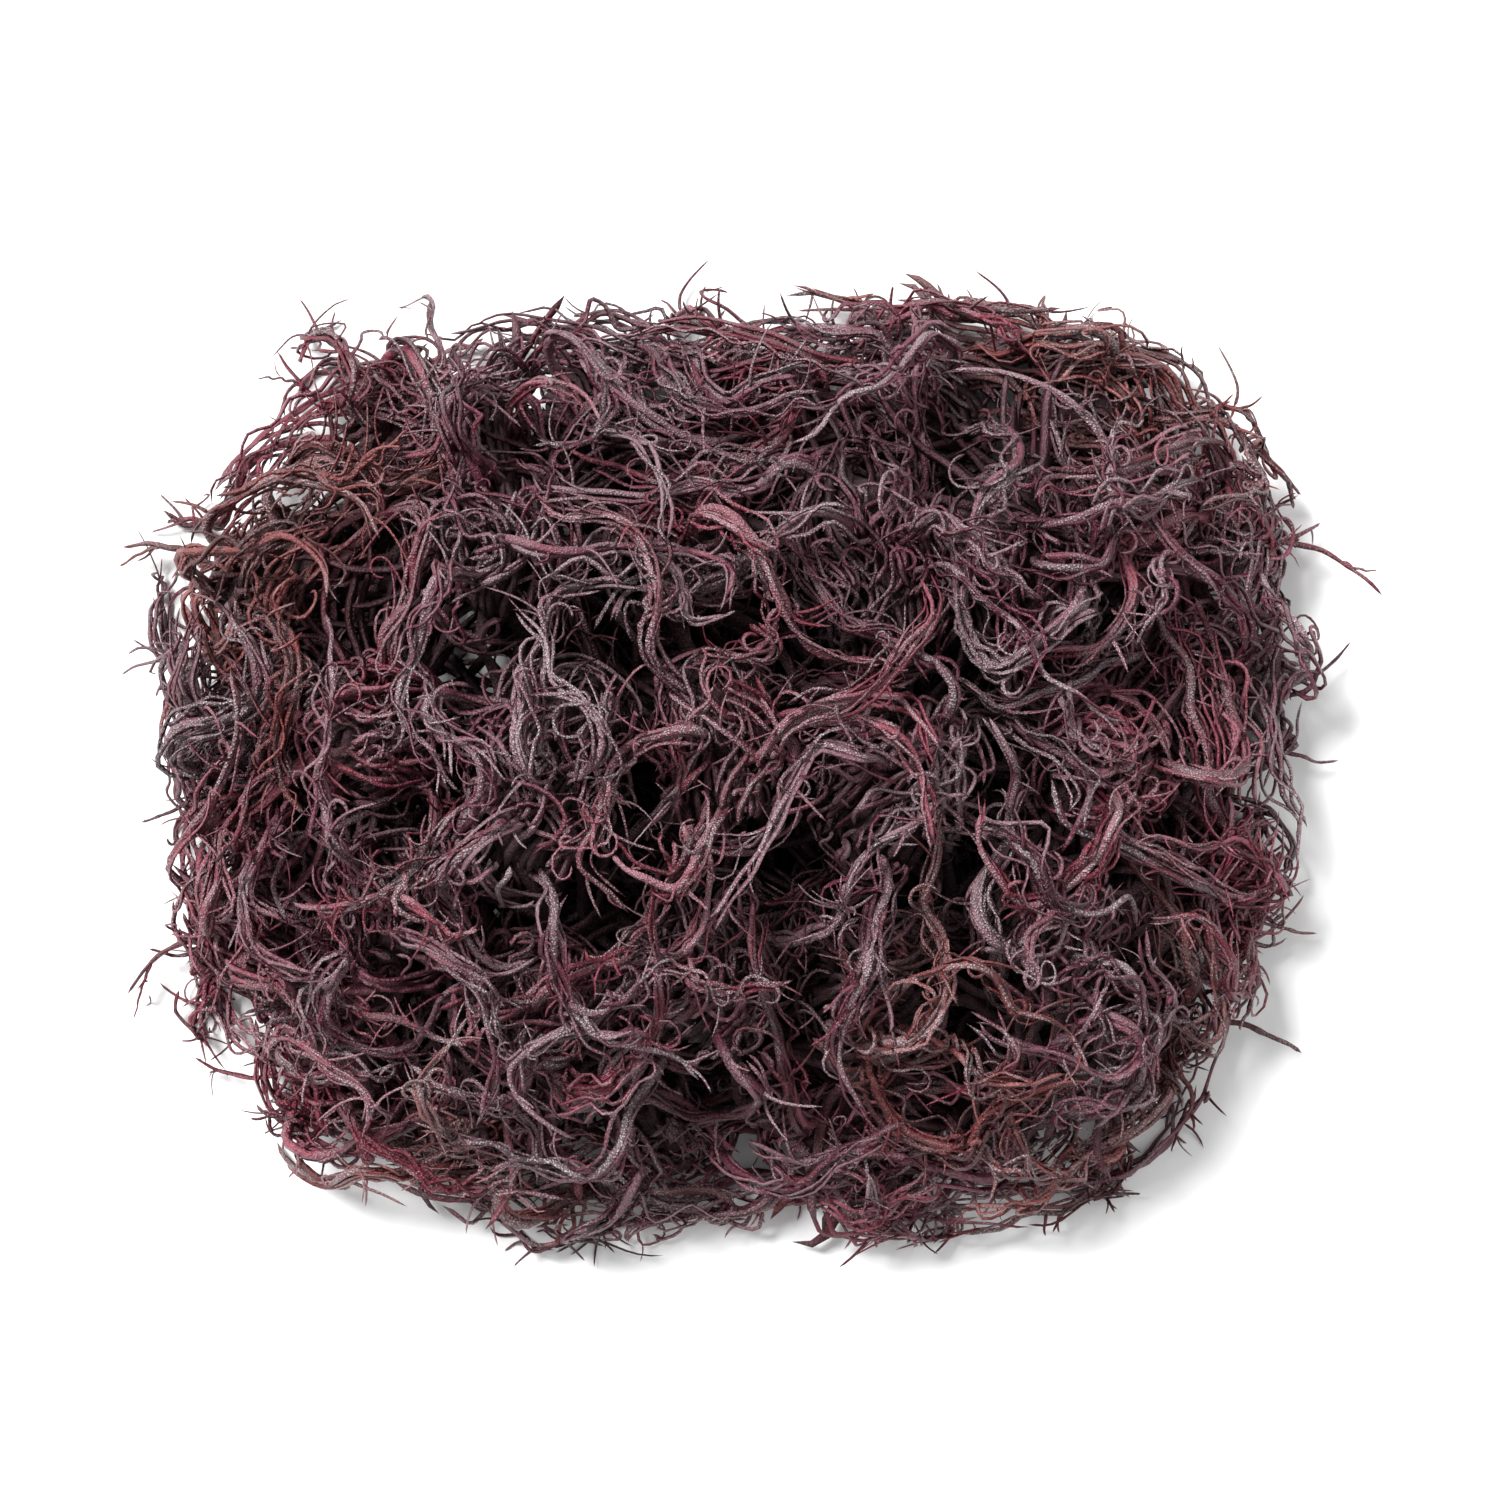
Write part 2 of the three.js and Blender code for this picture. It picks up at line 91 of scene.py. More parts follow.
# Each sprig's name, the place of its heart, heading in degrees, radius, most steps each way and colour.
SPRIGS = [
    ("rim_left_upper", -95, 39, 9.5, 40, 12.5, 2, "rust"),
    ("rim_left_middle", -99, 6, 9.5, 50, 12.5, 2, "plum"),
    ("rim_left_lower", -96, -28, 9.5, 140, 12.5, 2, "burgundy"),
    ("rim_lower_left", -80, -57, 9.5, 165, 12.5, 2, "burgundy"),
    ("rim_bottom_left", -48, -67, 9.5, 45, 12.5, 2, "rust"),
    ("rim_bottom", -15, -66, 9.5, -35, 12.5, 2, "plum"),
    ("rim_bottom_right", 19, -66, 9.5, 40, 12.5, 2, "burgundy"),
    ("rim_lower_right", 53, -64, 9.5, -25, 12.5, 2, "plum"),
    ("rim_right_foot", 81, -46, 9.5, 5, 12.5, 2, "rust"),
    ("rim_right_lower", 97, -17, 9.5, 50, 12.5, 2, "burgundy"),
    ("rim_right_middle", 99, 17, 9.5, 145, 12.5, 2, "plum"),
    ("rim_right_upper", 95, 51, 9.5, 60, 12.5, 2, "burgundy"),
    ("rim_upper_right", 72, 75, 9.5, 165, 12.5, 2, "rust"),
    ("rim_top_right", 38, 74, 9.5, 140, 12.5, 2, "plum"),
    ("rim_top", 4, 74, 9.5, 35, 12.5, 2, "burgundy"),
    ("rim_top_left", -30, 73, 9.5, -35, 12.5, 2, "plum"),
    ("rim_upper_left", -67, 69, 9.5, 30, 12.5, 2, "burgundy"),
    ("shoulder_top_right", 26, 44, 32, 120, 13, 2, "plum"),
    ("shoulder_top", -10, 44, 32, 10, 13, 2, "burgundy"),
    ("shoulder_top_left", -46, 41, 32, 70, 13, 2, "plum"),
    ("shoulder_left_upper", -70, 11, 31, 40, 13, 2, "burgundy"),
    ("shoulder_left_lower", -65, -24, 31, 110, 13, 2, "plum"),
    ("shoulder_bottom_left", -39, -42, 31, 50, 13, 2, "burgundy"),
    ("shoulder_bottom", -7, -40, 32, 60, 13, 2, "plum"),
    ("shoulder_bottom_right", 27, -41, 32, 0, 13, 2, "rust"),
    ("shoulder_right_lower", 59, -29, 31, 80, 13, 2, "plum"),
    ("shoulder_right", 71, 4, 31, 30, 13, 2, "burgundy"),
    ("shoulder_right_upper", 59, 39, 31, 120, 13, 2, "plum"),
    ("crown_left", -36, 1, 42, 70, 13, 2, "plum"),
    ("crown_middle", -1, 2, 43, 100, 13, 2, "burgundy"),
    ("crown_right", 34, 3, 42, 40, 13, 2, "plum"),
    ("base_left", -40, -2, 9.5, 80, 12.5, 6, "plum"),
    ("base_middle", 0, 0, 9, 90, 12, 6, "burgundy"),
    ("base_right", 40, 0, 9.5, 100, 12.5, 6, "plum"),
]

# Each stray twig's sprig, tip, bow to the left, root radius and, where it forks, second tip.
TWIGS = [
    ("rim_left_upper", (-123, 48, 5), -3, 1.2, (-124, 44, 3)),
    ("rim_left_middle", (-119.5, -7.5, 4), 2, 0.8, None),
    ("rim_left_lower", (-118, -33, 4), 3, 0.8, None),
    ("rim_left_lower", (-122, -42, 5), -4, 0.9, (-121, -47, 3)),
    ("rim_lower_left", (-109, -55, 4), 3, 0.9, (-106, -58, 3)),
    ("rim_lower_left", (-91, -69, 4), -3, 0.8, None),
    ("rim_upper_left", (-92, 87, 6), 3, 0.9, (-96, 82, 4)),
    ("rim_upper_right", (104, 69, 5), 4, 0.8, None),
    ("rim_right_upper", (118, 53, 5), -3, 0.9, (113, 48, 3)),
    ("rim_right_upper", (130, 38, 6), 4, 0.9, (129, 43, 4)),
    ("rim_right_middle", (124, 29, 4), -3, 0.8, None),
    ("rim_right_middle", (121, 4.5, 4), -3, 0.8, None),
    ("rim_right_lower", (117, -30, 4), -3, 0.8, None),
    ("rim_right_foot", (114, -54, 4), 3, 1.2, None),
    ("rim_right_foot", (92, -70, 4), 3, 0.9, (88, -74, 3)),
]


class Draw:
    """The solids' stream of numbers from 0 to 1: state = state * 1664525 + 1013904223, to 32 bits."""

    def __init__(self, seed):
        self.state = seed

    def one(self):
        """The next number: the new state over 2 to the 32nd."""
        self.state = (self.state * 1664525 + 1013904223) & 0xFFFFFFFF
        return self.state / 4294967296

    def between(self, low, high):
        """The next number, stretched to run from low to high."""
        return low + (high - low) * self.one()


def unit(v):
    """v divided by its length, row by row."""
    return v / np.maximum(np.sqrt((v * v).sum(-1, keepdims=True)), 1e-12)


def rim_radius(x, y):
    """The rim's radius in the direction of (x, y), even between the radii given every 15 degrees."""
    radii = np.array(RIM_RADII + RIM_RADII[:1], float)
    at = (np.arctan2(y, x) / DEGREE + 360) % 360
    return np.interp(at, np.arange(len(radii)) * RIM_STEP, radii)


def level_of(p):
    """0 in the heap's middle on the table and 1 on its dome: plan radius over rim radius, squared, plus
    height over the heap's height, squared, under a root."""
    flat = np.hypot(p[..., 0], p[..., 1]) / rim_radius(p[..., 0], p[..., 1])
    return np.sqrt(flat * flat + (p[..., 2] / HEAP_HEIGHT) ** 2)


def outward(p):
    """The way out of the heap: the slope of an even dome with the heap's two half widths and height."""
    return unit(p / np.array([*DOME_WIDTHS, HEAP_HEIGHT], float) ** 2)


def turned(v, axis, degrees):
    """v turned about an axis: v + 2w(q x v) + 2 q x (q x v), with q the axis by the half angle's sine."""
    half = degrees * DEGREE / 2
    q = axis * math.sin(half)
    t = 2 * np.cross(q, v)
    return v + math.cos(half) * t + np.cross(q, t)


class Rods:
    """All round-ended rods laid so far, for the test that a new one keeps clear of them."""

    def __init__(self):
        most = 6000
        self.a, self.b = np.zeros((most, 3)), np.zeros((most, 3))
        self.radius, self.reach = np.zeros(most), np.zeros(most)
        self.sprig, self.strand, self.index = (np.zeros(most, int) for _ in range(3))
        self.count = 0

    def lay(self, a, b, radius, sprig, strand, index):
        """Adds a rod from a to b. Strand -1 is a heart."""
        k = self.count
        self.a[k], self.b[k], self.radius[k] = a, b, radius
        self.reach[k] = radius / 2 if strand < 0 else CROWD_REACH
        self.sprig[k], self.strand[k], self.index[k] = sprig, strand, index
        self.count += 1

    def clear(self, a, b, radius, spared, air=CLEAR_AIR):
        """Whether the stretch a-b stays off every rod that isn't spared: the nearest points of two
        straight stretches are found by clamping each one's place along its own to 0 and 1."""
        n = self.count
        u, v, w = b - a, self.b[:n] - self.a[:n], a - self.a[:n]
        uu, vv = u @ u, (v * v).sum(1)
        uv, uw, vw = v @ u, w @ u, (v * w).sum(1)
        skew = uu * vv - uv * uv
        s = np.where(skew > 1e-9, np.clip((uv * vw - vv * uw) / np.maximum(skew, 1e-9), 0, 1), 0)
        t = np.clip((uv * s + vw) / vv, 0, 1)
        s = np.clip((uv * t - uw) / uu, 0, 1)
        gap = w + s[:, None] * u - t[:, None] * v
        reach = radius + self.radius[:n] + air
        return bool((((gap * gap).sum(1) >= reach * reach) | spared).all())

    def crowd(self, p):
        """How many rods lie near p in plan, each counted less the further its middle is."""
        n = self.count
        away = (self.a[:n, :2] + self.b[:n, :2]) / 2 - p[:2]
        return np.maximum(1 - np.sqrt((away * away).sum(1)) / self.reach[:n], 0).sum()


class Strand:
    """A main strand: its points, root radius, the steps it may grow and its number."""

    def __init__(self, number, sprig, radius, steps):
        self.number, self.sprig, self.radius, self.steps = number, sprig, radius, steps
        self.points = []

    def radius_at(self, i):
        """The root's radius, thinned evenly to about half at the tip."""
        return self.radius * (1 - 0.55 * i / (self.steps + 1))

    def lay(self, rods):
        """Lays one rod from each point to the next."""
        sprig = self.sprig.number
        for i in range(len(self.points) - 1):
            rods.lay(self.points[i], self.points[i + 1], self.radius_at(i), sprig, self.number, i)


class Sprig:
    """One dried plant: its heart's path, and the strands that stand out of it."""

    def __init__(self, number, row):
        self.number = number
        self.name, x, y, z, heading, self.radius, self.growth, self.colour = row
        self.middle = np.array([x, y, z], float)
        way = np.array([math.cos(heading * DEGREE), math.sin(heading * DEGREE), 0])
        self.path = [self.middle - way * HANK_STEP / 2, self.middle + way * HANK_STEP / 2]
        self.on_table = z < self.radius
        self.level = float(level_of(self.middle))
        self.strands = []


class Growth:
    """Grows all the sprigs, in the same order as the solids do."""

    def __init__(self):
        self.draw, self.rods, self.numbers = Draw(SEED), Rods(), 0
        self.sprigs = [Sprig(i, row) for i, row in enumerate(SPRIGS)]
        for sprig in self.sprigs:
            self.rods.lay(*sprig.path, sprig.radius, sprig.number, -1, 0)
        for i in range(max(sprig.growth for sprig in self.sprigs)):
            for sprig in self.sprigs:
                if sprig.growth > i:
                    self.grow_hank(sprig, True)
                    self.grow_hank(sprig, False)
        for name, tip, bow, radius, fork in TWIGS:
            self.lay_twig(next(s for s in self.sprigs if s.name == name), tip, bow, radius, fork)
        for level, radius, steps in PASSES:
            for sprig in self.sprigs:
                self.grow_strand(sprig, level, radius, steps)
        for sprig in self.sprigs:
            for strand in [s for s in sprig.strands if len(s.points) >= FORKING_POINTS]:
                if self.draw.one() < FORKING_SHARE:
                    self.grow_fork(sprig, strand, 2 + math.floor(self.draw.one() * 4))

    def new_strand(self, sprig, radius, steps):
        """A strand with a number of its own."""
        self.numbers += 1
        return Strand(self.numbers, sprig, radius, steps)

    def grow_hank(self, sprig, at_end):
        """Lengthens a heart by one step at one end, where it is clear."""
        path = sprig.path
        start, before = (path[-1], path[-2]) if at_end else (path[0], path[1])
        out = np.array([0, 0, 1.0]) if sprig.on_table else outward(start)
        wish = unit(start - before)
        bend = self.draw.between(-HANK_BEND, HANK_BEND)
        for turn in HANK_TURNS:
            to = start + turned(wish, out, bend + turn) * HANK_STEP
            if level_of(to) > max(sprig.level + 0.05, INNER_LEVEL):
                continue
            if not sprig.on_table and to[2] < sprig.radius + 1:
                continue
            own = self.rods.sprig[: self.rods.count] == sprig.number
            if not self.rods.clear((start + to) / 2, to, sprig.radius, own, HANK_AIR):
                continue
            path.insert(len(path) if at_end else 0, to)
            self.rods.lay(start, to, sprig.radius, sprig.number, -1, 0)
            return

    def grow_on(self, strand, step, level):
        """Grows a strand step by step along the cheapest clear way, until none is clear."""
        draw, rods = self.draw, self.rods
        heading = unit(strand.points[1] - strand.points[0])
        curl = draw.between(-CURL, CURL)
        for i in range(1, strand.steps + 1):
            start = strand.points[i]
            out = outward(start)
            if draw.one() < CURL_TURNS_BACK:
                curl = -curl
            jitter = np.array([draw.between(-1, 1) for _ in range(3)])
            pull = min(max((level - level_of(start)) * HEIGHT_PULL, -MOST_PULL), MOST_PULL)
            flat = unit(heading - out * (heading @ out) * 0.6)
            wish = unit(turned(flat, out, curl) + out * pull + jitter * JITTER)
            radius = strand.radius_at(i)
            n = rods.count
            spared = (rods.strand[:n] == strand.number) & (rods.index[:n] >= i - 1)
            best = None
            for turn in TURNS:
                for lift in LIFTS:
                    way = unit(turned(wish, out, turn) + out * lift)
                    if way @ heading < SHARPEST_BEND:
                        continue
                    to = start + way * step
                    to[2] = max(to[2], radius + TABLE_AIR)
                    if level_of(to) > HIGHEST_LEVEL:
                        continue
                    cost = TURN_COST * abs(turn) * DEGREE + LIFT_COST * abs(lift)
                    cost += CROWD_COST * rods.crowd(to)
                    if best is not None and cost >= best[0]:
                        continue
                    if rods.clear(start, to, radius, spared):
                        best = (cost, to)
            if best is None:
                return
            heading = unit(best[1] - start)
            strand.points.append(best[1])
            rods.lay(start, best[1], radius, strand.sprig.number, strand.number, i)

    def grow_strand(self, sprig, level, base_radius, steps):
        """Sends a strand out of a heart, from a root sunk into it."""
        draw, rods, path = self.draw, self.rods, sprig.path
        strand = self.new_strand(sprig, base_radius * draw.between(0.85, 1.1), steps)
        for _ in range(ROOT_TRIES):
            at = draw.one() * (len(path) - 1)
            k = math.floor(at)
            inside = path[k] + (path[k + 1] - path[k]) * (at - k)
            way = outward(inside) * 0.75
            way = unit(way + np.array([draw.between(-1, 1), draw.between(-1, 1), draw.between(-0.7, 1)]))
            root = inside + way * sprig.radius * ROOT_DEPTH
            first = inside + way * (sprig.radius + strand.radius + 1)
            n = rods.count
            own = (rods.sprig[:n] == sprig.number) & (rods.strand[:n] < 0)
            low = first[2] < strand.radius + TABLE_AIR or level_of(first) > HIGHEST_LEVEL
            if low or not rods.clear(root, first, strand.radius, own):
                continue
            strand.points = [root, first]
            strand.lay(rods)
            self.grow_on(strand, STEP, level)
            if len(strand.points) >= FEWEST_POINTS:
                sprig.strands.append(strand)
                return
            while rods.count and rods.strand[rods.count - 1] == strand.number:
                rods.count -= 1

    def grow_fork(self, sprig, parent, at):
        """Sends a short fork out of a strand's point."""
        radius = min(FORK_RADIUS, parent.radius_at(at) * 0.8)
        fork = self.new_strand(sprig, radius, FORK_STEPS)
        root = parent.points[at]
        ahead = unit(root - parent.points[at - 1])
        side = 1 if self.draw.one() < 0.5 else -1
        for degrees in (48, -48, 72, -72):
            first = root + turned(ahead, outward(root), side * degrees) * FORK_STEP
            first[2] = max(first[2], radius + TABLE_AIR)
            n = self.rods.count
            near = np.abs(self.rods.index[:n] + 0.5 - at) < 1.5
            spared = (self.rods.strand[:n] == parent.number) & near
            if level_of(first) > HIGHEST_LEVEL or not self.rods.clear(root, first, radius, spared):
                continue
            fork.points = [root, first]
            fork.lay(self.rods)
            self.grow_on(fork, FORK_STEP, float(level_of(root)))
            sprig.strands.append(fork)
            return

    def lay_twig(self, sprig, tip, bow, radius, fork):
        """Lays a stray twig: a straight line from the heart to the tip, bowed aside by half a sine."""
        tip = np.array(tip, float)
        root = sprig.middle + unit(tip - sprig.middle) * sprig.radius * 0.5
        left = unit(np.array([root[1] - tip[1], tip[0] - root[0], 0]))

        def bowed(start, end, count, bend):
            """Even points on the straight line, moved left by bend times half a sine."""
            t = np.arange(count + 1)[:, None] / count
            return list(start + (end - start) * t + left * bend * np.sin(math.pi * t))

        twig = self.new_strand(sprig, radius, TWIG_STEPS)
        twig.points = bowed(root, tip, TWIG_STEPS, bow)
        twig.lay(self.rods)
        sprig.strands.append(twig)
        if fork:
            second_radius = twig.radius_at(TWIG_FORK_AT) * 0.8
            second = self.new_strand(sprig, second_radius, TWIG_FORK_STEPS)
            second.points = bowed(twig.points[TWIG_FORK_AT], np.array(fork, float), TWIG_FORK_STEPS, -0.6)
            second.lay(self.rods)
            sprig.strands.append(second)


# The fine strands, in millimetres. What stands past the heap's uneven edge keeps a share of how far it
# does: strands the least, short branches more, stray twigs all of it.
EDGE_LEVEL = 1.02
EDGE_WAVES = [(0.02, 9, 1), (0.016, 17, 0), (0.01, 31, 0)]
STRAND_KEPT = 0.33
BRANCH_KEPT = 0.55
TWIG_KEPT = 1
TABLE_GAP = 0.1
CURL_SEED = 7

# A lock's strands lie tight round its path or loose about it: points along each, the share of the lock's
# radius that each keeps to, the height of its waves, its thickness and the radius of its hook. Then how
# many tight and loose strands two kinds of lock have, and what share of the strands are hooked.
TIGHT = {"points": 21, "shares": (0.1, 1), "wave": 0.75, "thick": (0.42, 0.82), "hook": (1, 2.6)}
LOOSE = {"points": 26, "shares": (0.6, 1.5), "wave": 2.3, "thick": (0.34, 0.62), "hook": (1.3, 3.6)}
LOCK_WAVELENGTHS = (9, 18)
TIGHT_HOOKED = 0.35
LOCK_POINTS = 7
WOUND_LOCK, RIM_LOCK = (5, 3), (4, 3)
WOUND_LOCK_SHARE = 0.24
WOUND_HOOKED = 0.65
STRAND_HOOKED = 0.7
RIM_HOOKED = 0.5
HIGH_GIRTH = 1.22

STEM_POINTS = 24
STEM_SIDES = 5
STEM_SHARE = 0.31
THINNEST_STEM = 0.6
STEM_WAVELENGTHS = (13, 24)

TWIG_POINTS = 22
STOUTEST_TWIG = 1.3
STRANDS_PER_RADIUS = 1.3

RIM_LOCK_RADIUS = 2.1
RIM_LOCK_LOWEST, RIM_LOCK_HIGHEST = 2.5, 24

CORE_SHARE = 0.5
CORE_SIDES = 12
CORE_POINTS = 14

# Side branches: how long, how thick and how many points. Forks leave the stems, and the others any lock.
FORKS = {"lengths": (4, 11), "thick": (0.4, 0.6), "points": 10}
CURLS = {"lengths": (3, 7), "thick": (0.26, 0.45), "points": 6}
THORNS = {"lengths": (1.4, 3.4), "thick": (0.38, 0.56), "points": 4}
FORKS_PER_STEM = 7

# How many of each kind a sprig has. A heart has as many locks as its path has points, and some more.
LOCKS_MORE, BASE_LOCKS, MATTED_LOCKS = 9, 11, 3
RIM_CURLS, OTHER_CURLS, HIGH_THORNS = 105, 62, 80
END_TUFTS, INNER_STRANDS = 16, 18
BASE_UNDERGROWTH, OTHER_UNDERGROWTH = 90, 40

# The map of the strands' skin: cells side by side, each a little smaller than its place.
MAP_COLUMNS = 44
CELL_WIDTH, CELL_HEIGHT = 0.86, 0.94

NUMBERS = ("tint", "salt", "deep")

rng = np.random.default_rng(CURL_SEED)


def spread(low, high, *shape):
    """Even random numbers from low to high."""
    return rng.uniform(low, high, shape)


def along(points, t):
    """Points on the smooth curve through the given ones at places t, counted in points: each coordinate
    is the Catmull-Rom cubic of its four nearest points, carried on straight past the two ends."""
    p = np.asarray(points, float)
    p = np.vstack([2 * p[0] - p[1], p, 2 * p[-1] - p[-2]])
    i = np.clip(np.floor(t).astype(int), 0, len(p) - 4)
    past = (t - i)[..., None]
    u = np.clip(past, 0, 1)
    a, b, c, d = p[i], p[i + 1], p[i + 2], p[i + 3]
    cubic = 2 * b + (c - a) * u + (2 * a - 5 * b + 4 * c - d) * u**2 + (3 * b - 3 * c + d - a) * u**3
    return cubic / 2 + (past - u) * (c - b)


def sideways(paths):
    """For each point of many paths (path, point, xyz), the way ahead and a way square to it: the last
    point's, less its part along the path."""
    ahead = unit(np.gradient(paths, axis=1))
    side = np.zeros_like(ahead)
    side[:, 0] = unit(np.cross(ahead[:, 0], np.array([0.31, 0.22, 0.93])))
    for i in range(1, paths.shape[1]):
        before = side[:, i - 1]
        side[:, i] = unit(before - ahead[:, i] * (before * ahead[:, i]).sum(-1, keepdims=True))
    return ahead, side


def waves(s, length, size, wavelength):
    """Two sines of random phase down each strand, the second half as long and a third as high."""
    n = len(s)
    first = np.sin(2 * math.pi * (s * length / spread(*wavelength, n, 1) + spread(0, 1, n, 1)))
    second = np.sin(4 * math.pi * (s * length / spread(*wavelength, n, 1) + spread(0, 1, n, 1)))
    return size * spread(0.5, 1.5, n, 1) * (first + 0.33 * second)


def hooked(paths, share, radius):
    """Rolls the last part of some paths into a hook: from the point where it starts, the path runs on
    round a circle, by the sine ahead and one less the cosine to the side."""
    n, count, _ = paths.shape
    start = np.where(spread(0, 1, n) < share, rng.integers(count // 2 - 1, count - 7, n), count - 1)
    ahead = unit(np.gradient(paths, axis=1))[np.arange(n), start]
    base = paths[np.arange(n), start]
    side = np.cross(ahead, outward(base)) * rng.choice([-1, 1], (n, 1)) + spread(-0.4, 0.4, n, 3)
    side = unit(side - ahead * (side * ahead).sum(-1, keepdims=True))
    past = np.clip(np.arange(count) - start[:, None], 0, None)
    share_round = past / np.maximum(count - 1 - start, 1)[:, None]
    angle = (share_round * spread(2.4, 5.2, n, 1))[..., None]
    size = spread(*radius, n, 1)[..., None]
    arc = base[:, None] + size * (np.sin(angle) * ahead[:, None] + (1 - np.cos(angle)) * side[:, None])
    return np.where((past > 0)[..., None], arc, paths)


def smoothed(paths):
    """Each point but the ends becomes a quarter of its two neighbours and half of itself, twice over."""
    for _ in range(2):
        paths[:, 1:-1] = (paths[:, :-2] + 2 * paths[:, 1:-1] + paths[:, 2:]) / 4
    return paths


def settled(paths, radii, kept):
    """Brings what stands out past the heap's edge, which three sines round it make uneven, back towards
    it, and lays what is low on the table."""
    paths = smoothed(paths)
    level = level_of(paths)[..., None]
    way = np.arctan2(paths[..., 1:2], paths[..., :1])
    edge = EDGE_LEVEL
    for high, turns, start in EDGE_WAVES:
        edge = edge + high * np.sin(turns * way + start)
    close = edge + kept * (level - edge)
    paths = np.where(level > edge, paths * close / np.maximum(level, 1e-6), paths)
    paths[..., 2] = np.maximum(paths[..., 2], radii + TABLE_GAP)
    return paths


def knobbly(n, count, radius, thinning):
    """Radii down each strand: the root's, less a share that grows as the 1.5th power, and uneven by a
    tenth or so as a dried strand is."""
    s = np.linspace(0, 1, count)[None, :]
    return radius * (1 - thinning * s**1.5) * (1 + spread(-0.16, 0.16, n, count))


class Tress:
    """Strands of one piece that have the same number of points and sides. Tint, salt and painted shade are
    numbers from 0 to 1 for the finish: what a tress shares, and a little of each strand's own. Salt grows
    towards the middle of the heap. The painted shade grows from near the heap's outside inwards, standing in
    for the shade deep in the heap, and added shade darkens some strands more."""

    def __init__(self, paths, radii, sides, added_shade=0.0, kept=STRAND_KEPT, salty=0.0):
        n, count, _ = paths.shape
        self.paths = settled(paths, radii, kept)
        self.radii, self.sides = radii, sides
        own = spread(-0.3, 0.3, n, 1) + spread(-0.05, 0.05, n, count)
        self.tint = np.clip(spread(0, 1) + own, 0, 1)
        own = spread(-0.3, 0.3, n, 1) + spread(-0.1, 0.1, n, count)
        x, y = self.paths[..., 0], self.paths[..., 1]
        flat = np.hypot(x, y) / rim_radius(x, y)
        self.salt = np.clip(spread(-0.7, 1) + own + salty + 0.9 * (0.72 - flat), 0, 1)
        # Painted shade: darker the deeper a point lies in the heap, plus any added shade, for the shade that
        # falls there.
        self.deep = np.clip(np.clip((0.93 - level_of(self.paths)) / 0.35, 0, 1) + added_shade, 0, 1)


def placed(points, t):
    """The points at places t on the curve through the given ones, and two ways square to it and to each
    other that are carried along with it."""
    points = np.asarray(points, float)
    centre = along(points, t)
    ahead = unit(np.gradient(centre, axis=-2))
    across = along(sideways(points[None])[1][0], t)
    across = unit(across - ahead * (across * ahead).sum(-1, keepdims=True))
    return centre, across, np.cross(ahead, across)


def beside(centre, across, up, x, y):
    """Paths that keep x across and y up from a centre line."""
    return centre + x[..., None] * across + y[..., None] * up


def lock(points, radii, tight, loose, hooks, girth=1.0):
    """Fine strands that follow one path. Each keeps its share of the lock's radius at an angle that
    drifts along the way, and has two sines added across the path; the loose ones stand further out and
    wave more. Hooks is the share of these that end in a hook, and girth makes all of them thicker."""
    reach = len(points) - 1
    length = np.linalg.norm(np.diff(np.asarray(points, float), axis=0), axis=1).sum()
    tresses = []
    for kind, n, hooked_share in ((TIGHT, tight, TIGHT_HOOKED), (LOOSE, loose, hooks)):
        s = np.linspace(0, 1, kind["points"])[None, :]
        start = spread(-0.1, 0.4, n, 1) * reach
        end = np.minimum(start + spread(0.55, 0.95, n, 1) * reach, reach + spread(0, 0.5, n, 1))
        t = start + (end - start) * s
        centre, across, up = placed(points, t)
        share = spread(*kind["shares"], n, 1) * (1 + 0.5 * s**2)
        own = share * np.interp(t, np.arange(reach + 1), radii)
        angle = spread(0, 2 * math.pi, n, 1) + spread(-2.5, 2.5, n, 1) * s
        run = length * (end - start) / reach
        x = own * np.cos(angle) + waves(s, run, kind["wave"], LOCK_WAVELENGTHS)
        y = own * np.sin(angle) + waves(s, run, kind["wave"] * 0.7, LOCK_WAVELENGTHS)
        paths = hooked(beside(centre, across, up, x, y), hooked_share, kind["hook"])
        thick = girth * spread(*kind["thick"], n, 1)
        # Painted shade for the strands that keep close to the lock's path, as if shaded by the strands round
        # them.
        added_shade = 0.35 * np.clip(0.7 - share, 0, 1)
        tresses.append(Tress(paths, knobbly(n, kind["points"], thick, 0.45), 3, added_shade))
    return tresses


def wound(sprig, count):
    """Locks that wind over a heart: each runs along the heart's path at nearly its radius, at an angle
    that starts anywhere, mostly on the side that shows, and swings by a slow sine."""
    reach = len(sprig.path) - 1
    middle, across, up = placed(sprig.path, np.array([reach / 2, reach / 2 + 0.01]))
    out = outward(middle[0])
    facing = math.atan2(out @ up[0], out @ across[0])
    girth = 1.0 if sprig.on_table else HIGH_GIRTH
    radii = np.full(LOCK_POINTS, sprig.radius * WOUND_LOCK_SHARE)
    tresses = []
    for number in range(count):
        start = spread(-0.75, 0.2) if number % 2 else spread(-0.75, 0.35 * reach)
        end = min(start + spread(0.75, 1.2) * (reach + 1), reach + 0.85)
        t = np.linspace(start, end, LOCK_POINTS)
        centre, across, up = placed(sprig.path, t)
        share = (number + spread(0, 1)) / count * 2 - 1
        turn = facing + math.pi * np.sign(share) * abs(share) ** 1.3
        turn = turn + spread(-0.8, 0.8) * (t - t.mean()) + spread(0.2, 0.5) * np.sin(t * spread(1, 2.2))
        past = np.clip(np.maximum(-t, t - reach), 0, 1)
        size = sprig.radius * (0.84 + spread(-0.1, 0.12)) * np.sqrt(1 - past**2 * 0.75)
        path = beside(centre, across, up, size * np.cos(turn), size * np.sin(turn))
        tresses += lock(path, radii, *WOUND_LOCK, WOUND_HOOKED, girth)
    return tresses


